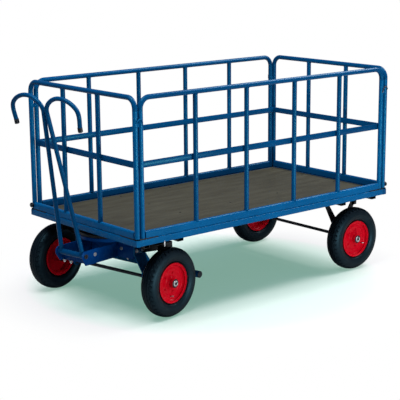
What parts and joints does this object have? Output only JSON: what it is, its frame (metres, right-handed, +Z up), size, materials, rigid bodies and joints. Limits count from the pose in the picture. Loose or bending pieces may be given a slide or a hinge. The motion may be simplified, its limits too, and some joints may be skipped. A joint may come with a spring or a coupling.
{
  "type": "four-wheel hand cart with tube walls",
  "caption": "Hand cart with a flat deck inside open walls of steel tube, on air-filled tyres. Its front axle is steered on a turntable by an upright drawbar.",
  "frame": {"origin": "the middle of the deck's top face", "axes": "+X forward, towards the drawbar; +Y to the cart's left; +Z up"},
  "size_m": [2.3526, 1.062, 1.2885],
  "materials": {
    "blue_paint": "gloss blue paint on steel",
    "black_paint": "satin black paint on steel",
    "red_paint": "gloss red paint on pressed steel",
    "tyre": "black rubber",
    "deck_board": "grey-brown coated plywood",
    "bare_steel": "plain steel pin"
  },
  "bodies": {
    "chassis": {"deck_board": "deck_board", "side_rail_left": "blue_paint", "side_top_rail_left": "blue_paint", "side_mid_rail_left": "blue_paint", "side_upright_left_1": "blue_paint", "side_upright_left_2": "blue_paint", "side_upright_left_3": "blue_paint", "side_upright_left_4": "blue_paint", "side_rail_right": "blue_paint", "side_top_rail_right": "blue_paint", "side_mid_rail_right": "blue_paint", "side_upright_right_1": "blue_paint", "side_upright_right_2": "blue_paint", "side_upright_right_3": "blue_paint", "side_upright_right_4": "blue_paint", "end_rail_front": "blue_paint", "end_top_rail_front": "blue_paint", "end_mid_rail_front": "blue_paint", "end_upright_front_1": "blue_paint", "end_upright_front_2": "blue_paint", "corner_posts_front_left": "blue_paint", "corner_posts_front_right": "blue_paint", "end_rail_rear": "blue_paint", "end_top_rail_rear": "blue_paint", "end_mid_rail_rear": "blue_paint", "end_upright_rear_1": "blue_paint", "end_upright_rear_2": "blue_paint", "corner_posts_rear_left": "blue_paint", "corner_posts_rear_right": "blue_paint", "deck_joist_rear": "blue_paint", "deck_joist_middle": "blue_paint", "deck_joist_front": "blue_paint", "cross_member_front_1": "black_paint", "cross_member_front_2": "black_paint", "cross_member_rear_1": "black_paint", "cross_member_rear_2": "black_paint", "turntable_upper_ring": "black_paint", "rear_axle": "black_paint", "rear_axle_carrier_left": "black_paint", "rear_axle_carrier_right": "black_paint"},
    "bogie": {"bogie_bolster": "blue_paint", "bogie_side_plate_left": "blue_paint", "bogie_side_plate_right": "blue_paint", "front_axle": "black_paint", "brake_bar": "blue_paint", "drawbar_pin": "bare_steel"},
    "drawbar": {"drawbar": "blue_paint"},
    "wheel_front_left": {"tyre_front_left": "tyre", "rim_front_left": "red_paint"},
    "wheel_front_right": {"tyre_front_right": "tyre", "rim_front_right": "red_paint"},
    "wheel_rear_left": {"tyre_rear_left": "tyre", "rim_rear_left": "red_paint"},
    "wheel_rear_right": {"tyre_rear_right": "tyre", "rim_rear_right": "red_paint"}
  },
  "joints": [
    {"name": "steering", "type": "hinge", "parent": "chassis", "child": "bogie", "pos_m": [0.812, 0, -0.0754], "axis": [0, 0, 1], "range_deg": [-39.8, 20.2]},
    {"name": "drawbar_tilt", "type": "hinge", "parent": "bogie", "child": "drawbar", "pos_m": [1.11255, 0.05191, -0.145], "axis": [-0.1702, 0.9854, 0], "range_deg": [0, 98]},
    {"name": "wheel_front_left_spin", "type": "hinge", "parent": "bogie", "child": "wheel_front_left", "pos_m": [0.73421, 0.45033, -0.299], "axis": [-0.1702, 0.9854, 0], "continuous": true},
    {"name": "wheel_front_right_spin", "type": "hinge", "parent": "bogie", "child": "wheel_front_right", "pos_m": [0.88979, -0.45033, -0.299], "axis": [-0.1702, 0.9854, 0], "continuous": true},
    {"name": "wheel_rear_left_spin", "type": "hinge", "parent": "chassis", "child": "wheel_rear_left", "pos_m": [-0.77, 0.457, -0.299], "axis": [0, 1, 0], "continuous": true},
    {"name": "wheel_rear_right_spin", "type": "hinge", "parent": "chassis", "child": "wheel_rear_right", "pos_m": [-0.77, -0.457, -0.299], "axis": [0, 1, 0], "continuous": true}
  ]
}
